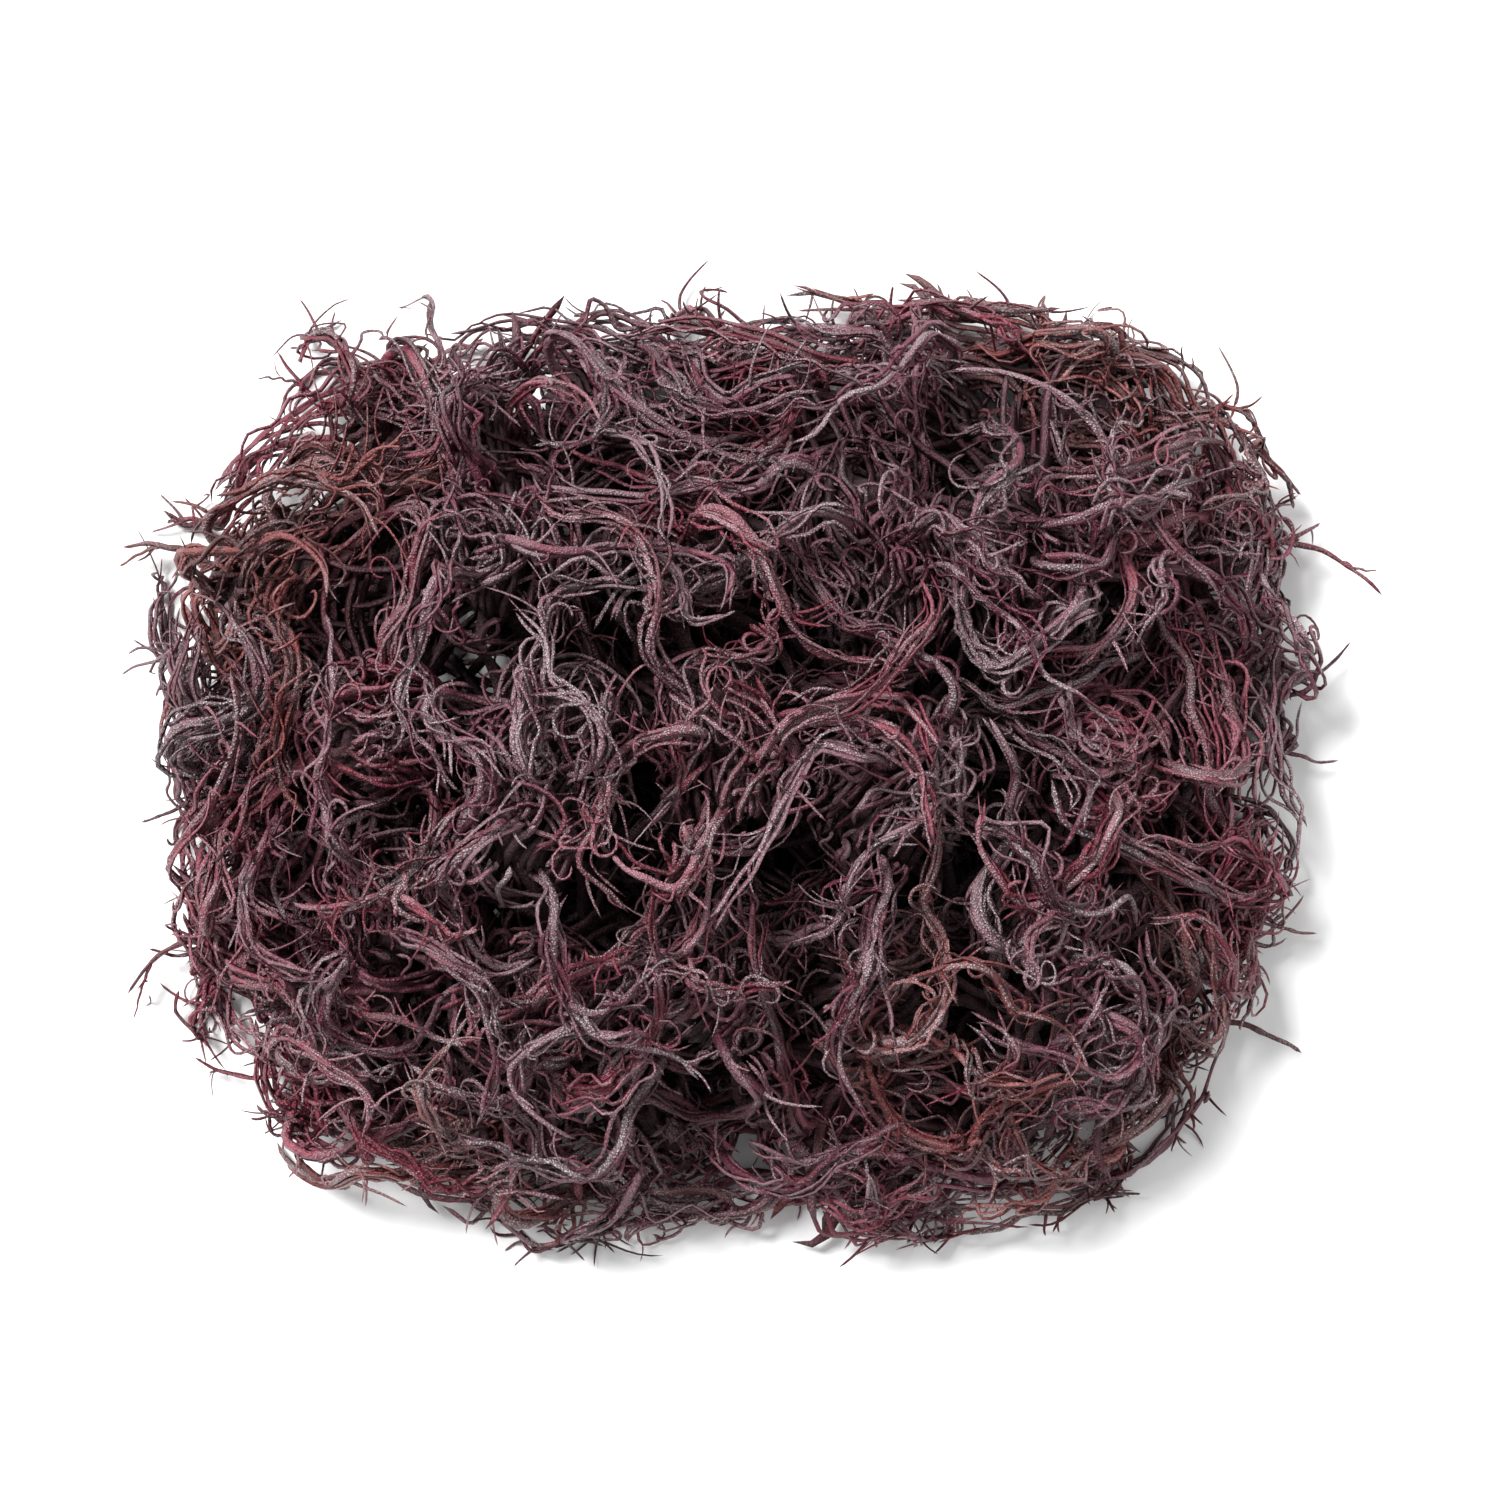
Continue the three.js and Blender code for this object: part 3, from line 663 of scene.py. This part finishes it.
def stem(strand):
    """The thick middle branch of a lock: its solid strand's path, a third as thick and wavy by its sines."""
    reach = len(strand.points) - 1
    s = np.linspace(0, 1, STEM_POINTS)[None, :]
    centre, across, up = placed(strand.points, s * reach)
    x = waves(s, STEP * reach, 0.9, STEM_WAVELENGTHS)
    y = waves(s, STEP * reach, 0.7, STEM_WAVELENGTHS)
    radii = knobbly(1, STEM_POINTS, max(STEM_SHARE * strand.radius, THINNEST_STEM), 0.5)
    return Tress(beside(centre, across, up, x, y), radii, STEM_SIDES, salty=0.4)


def stray_twig(strand):
    """A twig that stands out past the rim: its solid strand's path with a small wave each way."""
    s = np.linspace(0, 1, TWIG_POINTS)[None, :]
    path = along(strand.points, s * (len(strand.points) - 1))
    path = path + np.stack([waves(s, 25, 0.25, (6, 10))] * 3, -1)
    return Tress(path, knobbly(1, TWIG_POINTS, strand.radius * 0.85, 0.6), 3, kept=TWIG_KEPT)


def end_tufts(sprig, n):
    """Curls over a heart's two ends: each runs from the heart's side over the end by a cosine, and on
    out past it."""
    reach, count = len(sprig.path) - 1, 20
    s = np.linspace(0, 1, count)[None, :]
    over = s * spread(1.6, 3.2, n, 1)
    first = np.arange(n)[:, None] % 2
    past = spread(0.5, 0.95, n, 1) * np.sin(over)
    t = np.where(first, -0.35 - past, reach + 0.35 + past)
    centre, across, up = placed(sprig.path, t)
    size = sprig.radius * spread(0.7, 1, n, 1) * np.cos(over) + waves(s, 25, 1, (9, 16))
    angle = spread(0, 2 * math.pi, n, 1) + spread(-0.5, 0.5, n, 1) * s
    aside = waves(s, 25, 1.6, (9, 16))
    x, y = size * np.cos(angle) - aside * np.sin(angle), size * np.sin(angle) + aside * np.cos(angle)
    return Tress(beside(centre, across, up, x, y), knobbly(n, count, spread(0.4, 0.75, n, 1), 0.4), 3)


def matted(sprig, n):
    """Locks that lie along the heap's edge: each runs round the rim on either side of its sprig, at a
    height and a depth that swing by slow sines."""
    middle_x, middle_y, _ = sprig.middle
    away = math.hypot(middle_x, middle_y)
    radii = np.full(LOCK_POINTS, RIM_LOCK_RADIUS)
    tresses = []
    for _ in range(n):
        s = np.linspace(0, 1, LOCK_POINTS)
        swing = np.sin(s * spread(3, 6) + spread(0, 6))
        z = np.clip(spread(3, 18) + 6 * swing, RIM_LOCK_LOWEST, RIM_LOCK_HIGHEST)
        level = spread(0.88, 0.96) + 0.035 * np.sin(s * spread(4, 8) + spread(0, 6))
        round_rim = spread(-15, 15) + spread(30, 54) * (s - 0.5)
        way = math.atan2(middle_y, middle_x) + round_rim / away
        flat = np.sqrt(level**2 - (z / HEAP_HEIGHT) ** 2) * rim_radius(np.cos(way), np.sin(way))
        path = np.stack([flat * np.cos(way), flat * np.sin(way), z], -1)
        tresses += lock(path, radii, *RIM_LOCK, RIM_HOOKED)
    return tresses


def inner_strands(sprig, n):
    """Thick strands inside a heart, darkened with painted shade, wound like the outer ones at half its
    radius to three quarters.
    """
    reach, count = len(sprig.path) - 1, 14
    s = np.linspace(0, 1, count)[None, :]
    t = -0.5 + (reach + 1) * s + np.zeros((n, 1))
    centre, across, up = placed(sprig.path, t)
    past = np.clip(np.maximum(-t, t - reach), 0, 1)
    size = sprig.radius * spread(0.5, 0.75, n, 1) * np.sqrt(1 - past**2)
    angle = np.arange(n)[:, None] * 2.4 + spread(-1.4, 1.4, n, 1) * s + waves(s, 50, 0.2, (14, 22))
    paths = beside(centre, across, up, size * np.cos(angle), size * np.sin(angle))
    return Tress(paths, knobbly(n, count, spread(0.9, 1.5, n, 1), 0.2), 3, added_shade=0.75)


def core(sprig):
    """The small middle of a heart, all in painted shade so that the heart looks dark deep inside: half its
    radius, rounded off at both ends as a circle is.
    """
    reach = len(sprig.path) - 1
    t = np.linspace(-0.4, reach + 0.4, CORE_POINTS)
    past = np.clip(np.maximum(-t, t - reach), 0, 0.4) / 0.41
    uneven = 1 + spread(-0.1, 0.1, 1, CORE_POINTS)
    radii = (sprig.radius * CORE_SHARE * np.sqrt(1 - past**2))[None] * uneven
    return Tress(along(sprig.path, t[None]), radii, CORE_SIDES, added_shade=1.0)


def undergrowth(sprig, n):
    """Long strands low in the heap, darkened with painted shade, which fill the gaps between the hearts:
    each leaves the heart level, sinks by half a cosine to a low height of its own, and wanders by its sines."""
    count = 16
    s = np.linspace(0, 1, count)[None, :]
    at = sprig.path[0] + (sprig.path[-1] - sprig.path[0]) * spread(0, 1, n, 1)
    inward = math.atan2(-sprig.middle[1], -sprig.middle[0])
    swing = 1.5 if sprig.name.startswith("rim") else 3.1 if sprig.on_table else 2.6
    angle = inward + spread(-swing, swing, n, 1)
    run = spread(26, 52, n, 1)
    far = run * s
    side = waves(s, run, 2.6, (18, 34))
    x = at[:, :1] + far * np.cos(angle) - side * np.sin(angle)
    y = at[:, 1:2] + far * np.sin(angle) + side * np.cos(angle)
    low = spread(2, 16, n, 1) if sprig.on_table else spread(8, 26, n, 1)
    height_left = (1 + np.cos(math.pi * np.clip(s * 1.6, 0, 1))) / 2
    z = low + (at[:, 2:] - low) * height_left + waves(s, run, 1, (9, 20))
    radii = knobbly(n, count, spread(0.9, 1.5, n, 1), 0.35)
    return Tress(np.stack([x, y, z], -1), radii, 3, added_shade=0.3)


def branchlets(source, count, kind):
    """Short side branches: from a random place on a strand, a straight line ahead and outwards, bent to
    one side by the square of the way along."""
    weights = np.array([len(tress.paths) for tress in source], float)
    picks = rng.choice(len(source), count, p=weights / weights.sum())
    roots, aheads, widths = [], [], []
    for i, tress in enumerate(source):
        n = int((picks == i).sum())
        row, at = rng.integers(0, len(tress.paths), n), rng.integers(2, tress.paths.shape[1] - 2, n)
        roots.append(tress.paths[row, at])
        aheads.append(unit(tress.paths[row, at + 1] - tress.paths[row, at - 1]))
        widths.append(tress.radii[row, at])
    root, ahead, width = np.concatenate(roots), np.concatenate(aheads), np.concatenate(widths)
    way = ahead * spread(0.2, 1, count, 1) + outward(root) * spread(0, 0.6, count, 1)
    way = unit(way + spread(-0.8, 0.8, count, 3))
    bend = np.cross(way, unit(spread(-1, 1, count, 3)))
    s = np.linspace(0, 1, kind["points"])[None, :, None]
    length = spread(*kind["lengths"], count, 1)[..., None]
    aside = s**2 * bend[:, None] * spread(0.5, 1.3, count, 1, 1)
    paths = root[:, None] + length * (s * way[:, None] + aside)
    width = np.minimum(np.minimum(width * 0.8, 0.55)[:, None], spread(*kind["thick"], count, 1))
    radii = width * np.linspace(1, 0.45, kind["points"])[None, :]
    return Tress(paths, radii, 3, kept=BRANCH_KEPT)


def template(count, sides):
    """The corners of one strand's faces and their places on its cell of the map: triangles at its two
    closed ends, four-sided faces between."""
    j = np.arange(sides)
    k = (j + 1) % sides
    rings = np.arange(count - 3)[:, None] * sides + 1
    quads = np.stack([rings + j, rings + k, rings + k + sides, rings + j + sides], -1).reshape(-1, 4)
    last = (count - 3) * sides + 1
    tip = np.full(sides, last + sides)
    ends = np.concatenate([np.stack([0 * j, k + 1, j + 1], -1), np.stack([tip, last + j, last + k], -1)])
    quads_u = np.stack([j, j + 1, j + 1, j], -1)[None].repeat(count - 3, 0).reshape(-1, 4)
    quads_v = np.arange(count - 3)[:, None, None] + np.array([1, 1, 2, 2])[None, None, :]
    quads_v = quads_v.repeat(sides, 1).reshape(-1, 4)
    ends_u = np.concatenate([np.stack([j + 0.5, j + 1, j], -1), np.stack([j + 0.5, j, j + 1], -1)])
    ends_v = np.array([[0, 1, 1], [count - 1, count - 2, count - 2]]).repeat(sides, 0)
    quads_uv = np.stack([quads_u / sides, quads_v / (count - 1)], -1)
    ends_uv = np.stack([ends_u / sides, ends_v / (count - 1)], -1)
    return quads, ends, quads_uv, ends_uv


def tubes(tress):
    """The points of a tress's closed tubes: each path's first point, then rings that lie round its middle
    points by the cosine and sine of even angles times the radius, then its last point."""
    ahead, side = sideways(tress.paths)
    up = np.cross(ahead, side)
    angle = np.arange(tress.sides) * 2 * math.pi / tress.sides
    round_by = np.cos(angle)[:, None] * side[:, 1:-1, None] + np.sin(angle)[:, None] * up[:, 1:-1, None]
    rings = tress.paths[:, 1:-1, None] + tress.radii[:, 1:-1, None, None] * round_by
    rings = rings.reshape(len(tress.paths), -1, 3)
    return np.concatenate([tress.paths[:, :1], rings, tress.paths[:, -1:]], 1)


def on_tubes(tress, value):
    """Numbers for the paths' points, given to all the points of their rings."""
    value = np.broadcast_to(value, tress.paths.shape[:2])
    return np.concatenate([value[:, :1], np.repeat(value[:, 1:-1], tress.sides, 1), value[:, -1:]], 1)


def map_rows(tress):
    """How many rows of cells a tress takes on the map."""
    return -(-len(tress.paths) // MAP_COLUMNS)


def piece(name, tresses, material):
    """One mesh of all the tresses' tubes. Every tube has a cell of its own on the map: the cells stand
    side by side, row above row, each as high as its tube has points."""
    map_height = sum(map_rows(tress) * tress.paths.shape[1] for tress in tresses)
    places, quads, ends, quads_uv, ends_uv = [], [], [], [], []
    values = {key: [] for key in NUMBERS}
    first = row_base = 0
    for tress in tresses:
        n, count, _ = tress.paths.shape
        points = tubes(tress)
        places.append(points.reshape(-1, 3))
        for key in NUMBERS:
            values[key].append(on_tubes(tress, getattr(tress, key)).ravel())
        quad, end, quad_uv, end_uv = template(count, tress.sides)
        offset = first + np.arange(n)[:, None, None] * points.shape[1]
        quads.append((quad[None] + offset).reshape(-1, 4))
        ends.append((end[None] + offset).reshape(-1, 3))
        column, row = np.arange(n) % MAP_COLUMNS, np.arange(n) // MAP_COLUMNS
        cell = np.stack([column / MAP_COLUMNS, (row_base + row * count) / map_height], -1)
        size = np.array([CELL_WIDTH / MAP_COLUMNS, CELL_HEIGHT * count / map_height])
        quads_uv.append((cell[:, None, None] + size * quad_uv[None]).reshape(-1, 2))
        ends_uv.append((cell[:, None, None] + size * end_uv[None]).reshape(-1, 2))
        first += n * points.shape[1]
        row_base += map_rows(tress) * count
    quads, ends = np.concatenate(quads), np.concatenate(ends)
    corners = np.concatenate([quads.ravel(), ends.ravel()])
    starts = np.concatenate([np.arange(len(quads)) * 4, quads.size + np.arange(len(ends)) * 3])
    mesh = bpy.data.meshes.new(name)
    mesh.vertices.add(first)
    mesh.vertices.foreach_set("co", (np.concatenate(places) * MM).ravel())
    mesh.loops.add(len(corners))
    mesh.loops.foreach_set("vertex_index", corners)
    mesh.polygons.add(len(starts))
    mesh.polygons.foreach_set("loop_start", starts)
    mesh.update(calc_edges=True)
    mesh.polygons.foreach_set("use_smooth", np.ones(len(starts), bool))
    layer = mesh.uv_layers.new(name="OFBake")
    layer.uv.foreach_set("vector", np.concatenate(quads_uv + ends_uv).ravel())
    for key, found in values.items():
        mesh.attributes.new(key, "FLOAT", "POINT").data.foreach_set("value", np.concatenate(found))
    mesh.validate()
    mesh.materials.append(material)
    thing = bpy.data.objects.new(name, mesh)
    bpy.context.scene.collection.objects.link(thing)
    return thing


def dressed(sprig):
    """All the fine strands of one sprig, and the small core in painted shade that they lie on. Rim sprigs
    have more curls, higher ones have thorns, and base ones have more of the undergrowth."""
    at_rim, at_base = sprig.name.startswith("rim"), sprig.name.startswith("base")
    tresses = wound(sprig, BASE_LOCKS if at_base else LOCKS_MORE + len(sprig.path))
    if at_rim:
        tresses += matted(sprig, MATTED_LOCKS)
    stems = []
    for strand in sprig.strands:
        if strand.radius < STOUTEST_TWIG and strand.steps != FORK_STEPS:
            tresses.append(stray_twig(strand))
            continue
        radii = np.array([strand.radius_at(i) for i in range(len(strand.points))])
        count = round(STRANDS_PER_RADIUS * strand.radius)
        tresses += lock(strand.points, radii, count, count, STRAND_HOOKED)
        stems.append(stem(strand))
    branches = [branchlets(stems, FORKS_PER_STEM * len(stems), FORKS)]
    branches.append(branchlets(tresses, RIM_CURLS if at_rim else OTHER_CURLS, CURLS))
    if not sprig.on_table:
        branches.append(branchlets(tresses, HIGH_THORNS, THORNS))
    middle = core(sprig)
    low_strands = BASE_UNDERGROWTH if at_base else OTHER_UNDERGROWTH
    inside = [inner_strands(sprig, INNER_STRANDS), undergrowth(sprig, low_strands), middle]
    return joined(tresses + stems + branches + [end_tufts(sprig, END_TUFTS)] + inside)


def joined(tresses):
    """The tresses with the same number of points and sides put together."""
    kinds = {}
    for tress in tresses:
        kinds.setdefault((tress.paths.shape[1], tress.sides), []).append(tress)
    for group in kinds.values():
        whole = group[0]
        for key in ("paths", "radii", *NUMBERS):
            setattr(whole, key, np.concatenate([getattr(tress, key) for tress in group]))
    return [group[0] for group in kinds.values()]


class Socket:
    """A value in a material's nodes, for use in sums."""

    def __init__(self, tree, socket):
        self.tree, self.socket = tree, socket

    def math(self, operation, first, second):
        """A Math node on two values."""
        return self.tree.node("ShaderNodeMath", {"operation": operation}, [first, second])

    def __add__(self, other):
        return self.math("ADD", self, other)

    __radd__ = __add__

    def __mul__(self, other):
        return self.math("MULTIPLY", self, other)

    __rmul__ = __mul__

    def __sub__(self, other):
        return self.math("SUBTRACT", self, other)

    def __rsub__(self, other):
        return self.math("SUBTRACT", other, self)

    def clamped(self, low, high):
        """0 below low and 1 above high, and even between."""
        settings = {"operation": "DIVIDE", "use_clamp": True}
        return self.tree.node("ShaderNodeMath", settings, [self - low, high - low])


class Tree:
    """A material's nodes, made one call at a time."""

    def __init__(self, name):
        self.material = bpy.data.materials.new(name)
        self.material.use_nodes = True
        self.nodes, self.links = self.material.node_tree.nodes, self.material.node_tree.links

    def node(self, kind, settings, values, output=0):
        """Adds a node, sets what it is, then gives its inputs numbers or links."""
        node = self.nodes.new(kind)
        for key, value in settings.items():
            if key == "stops":
                ramp = node.color_ramp
                for place, _ in value[1:-1]:
                    ramp.elements.new(place)
                for element, (place, colour) in zip(ramp.elements, value):
                    element.position, element.color = place, colour
            else:
                setattr(node, key, value)
        pairs = values.items() if isinstance(values, dict) else enumerate(values)
        for key, value in pairs:
            self.put(node.inputs[key], value)
        return Socket(self, node.outputs[output])

    def put(self, socket, value):
        """Gives an input a link or a number."""
        if isinstance(value, Socket):
            self.links.new(value.socket, socket)
        else:
            socket.default_value = value

    def blend(self, factor, first, second):
        """Two colours mixed by a factor."""
        return self.node("ShaderNodeMix", {"data_type": "RGBA"}, {0: factor, 6: first, 7: second}, 2)

    def attribute(self, name):
        """One of the strands' own numbers."""
        return self.node("ShaderNodeAttribute", {"attribute_name": name}, [], "Fac")

    def noise(self, place, scale, detail):
        """Cloudy noise from 0 to 1, scale times a metre."""
        values = {"Vector": place, "Scale": scale, "Detail": detail, "Roughness": 0.6}
        return self.node("ShaderNodeTexNoise", {}, values, "Fac")


def tone(red, green, blue):
    """A colour given as on a screen, 0 to 255, as the shader's even light."""
    share = np.array([red, green, blue]) / 255
    light = np.where(share <= 0.04045, share / 12.92, ((share + 0.055) / 1.055) ** 2.4)
    return (*light, 1.0)


# The finishes. How often each pattern of the skin comes in a metre, and its colours.
PATCHES, DRIFTS, MOTTLES, WRINKLES, GRAINS = 45, 75, 520, 1000, 1900
# The salt grains' colour, partly real salt and partly a painted glint.
SALT_AND_GLINT = tone(205, 194, 198)
SPOTS = tone(45, 15, 24)
CRACKS = tone(52, 13, 23)
# The colour of the painted shade deep in the heap.
SHADE = tone(37, 12, 19)


def dried(name, stops):
    """The skin of dried sea moss: a hue for each strand, with painted shade deep in the heap, a bloom of
    salt grains that is partly real salt and partly painted glints, stronger on what faces up, dark cracks
    between the grains, and fine wrinkles."""
    tree = Tree(name)
    place = tree.node("ShaderNodeTexCoord", {}, [], "Object")
    tint, salt, deep = (tree.attribute(key) for key in NUMBERS)
    patch = tree.noise(place, PATCHES, 2)
    mottle = tree.noise(place, MOTTLES, 3)
    hue = (tint * 0.8 + patch * 0.75 - 0.27).clamped(0, 1)
    skin = tree.node("ShaderNodeValToRGB", {"stops": stops}, [hue])
    skin = tree.blend((mottle * 1.6 - 0.45).clamped(0, 1) * 0.5, skin, SPOTS)
    facing = tree.node("ShaderNodeNewGeometry", {}, [], "Normal")
    up = tree.node("ShaderNodeSeparateXYZ", {}, [facing], 2)
    to_grain = tree.node("ShaderNodeTexVoronoi", {}, {"Vector": place, "Scale": GRAINS}, "Distance")
    grains = 1 - to_grain.clamped(0.22, 0.6)
    drift = tree.noise(place, DRIFTS, 2).clamped(0.4, 0.68)
    # Salt grains, partly real salt bloom and partly painted glints: whiter on what faces up, towards the
    # lamps, as a painted highlight.
    salt_and_glint = (drift * 0.8 + salt * 0.75 - 0.3).clamped(0, 1) * (up * 0.5 + 0.55).clamped(0, 1)
    salt_and_glint = salt_and_glint * (grains * 0.9 + 0.1) * (1 - deep * 0.8)
    skin = tree.blend((1 - grains) * (1 - deep) * 0.36, skin, CRACKS)
    skin = tree.blend(salt_and_glint * 0.95, skin, SALT_AND_GLINT)
    # Painted shade: the deeper in the heap, the more the skin turns to the shade colour.
    skin = tree.blend(deep * 0.92, skin, SHADE)
    height = tree.noise(place, WRINKLES, 4) + grains * (salt_and_glint + 0.35)
    bump = tree.node("ShaderNodeBump", {}, {"Strength": 0.9, "Distance": 0.0005, "Height": height})
    roughness = (salt_and_glint * 0.35 + mottle * 0.25 + deep * 0.3 + 0.24).clamped(0, 1)
    shader = tree.nodes["Principled BSDF"]
    tree.put(shader.inputs["Base Color"], skin)
    tree.put(shader.inputs["Roughness"], roughness)
    tree.put(shader.inputs["Normal"], bump)
    shader.inputs["Specular IOR Level"].default_value = 0.45
    return tree.material


FINISHES = {
    "plum": dried("plum_moss", [
        (0, tone(54, 19, 30)), (0.35, tone(92, 37, 51)), (0.6, tone(120, 60, 75)), (1, tone(140, 111, 118)),
    ]),
    "burgundy": dried("burgundy_moss", [
        (0, tone(64, 17, 27)), (0.35, tone(106, 34, 48)), (0.6, tone(134, 54, 70)), (1, tone(156, 95, 107)),
    ]),
    "rust": dried("rust_moss", [
        (0, tone(57, 20, 22)), (0.35, tone(96, 38, 38)), (0.6, tone(124, 57, 56)), (1, tone(156, 98, 96)),
    ]),
}

for sprig in Growth().sprigs:
    strands = piece("strands_" + sprig.name, dressed(sprig), FINISHES[sprig.colour])
    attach(strands, "root")
    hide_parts(sprig.name)


# The table, the light and the camera, in metres.
FRAME_WIDTH = 0.295
FRAME_HEIGHT = 0.02
CENTRE = (0.003, 0.007)
SENSOR, LENS = 36.0, 85.0
FLOOR = 30

floor_mesh = bpy.data.meshes.new("floor")
floor_corners = [(-FLOOR, -FLOOR, 0), (FLOOR, -FLOOR, 0), (FLOOR, FLOOR, 0), (-FLOOR, FLOOR, 0)]
floor_mesh.from_pydata(floor_corners, [], [(0, 1, 2, 3)])
paper = Tree("pale_paper")
paper.nodes["Principled BSDF"].inputs["Base Color"].default_value = tone(240, 240, 240)
paper.nodes["Principled BSDF"].inputs["Roughness"].default_value = 0.9
floor_mesh.materials.append(paper.material)
floor = bpy.data.objects.new("floor", floor_mesh)
bpy.context.scene.collection.objects.link(floor)

world = bpy.data.worlds.new("pale_air")
world.use_nodes = True
world.node_tree.nodes["Background"].inputs["Color"].default_value = (1, 1, 1, 1)
world.node_tree.nodes["Background"].inputs["Strength"].default_value = 0.5
bpy.context.scene.world = world


def lamp(name, height, bearing, softness, strength):
    """An even light from a height and a bearing in degrees, blurred as a wide lamp's is."""
    light = bpy.data.lights.new(name, "SUN")
    light.angle, light.energy = softness * DEGREE, strength
    thing = bpy.data.objects.new(name, light)
    thing.rotation_euler = ((90 - height) * DEGREE, 0, (bearing + 90) * DEGREE)
    bpy.context.scene.collection.objects.link(thing)


lamp("upper_left", 48, 137, 22, 6.4)
lamp("right", 40, 10, 50, 0.9)

camera_data = bpy.data.cameras.new("camera")
camera_data.lens, camera_data.sensor_width = LENS, SENSOR
camera_data.clip_start = 0.05
camera = bpy.data.objects.new("camera", camera_data)
camera.location = (*CENTRE, FRAME_HEIGHT + FRAME_WIDTH * LENS / SENSOR)
bpy.context.scene.collection.objects.link(camera)
bpy.context.scene.camera = camera
bpy.context.scene.view_settings.view_transform = "Standard"
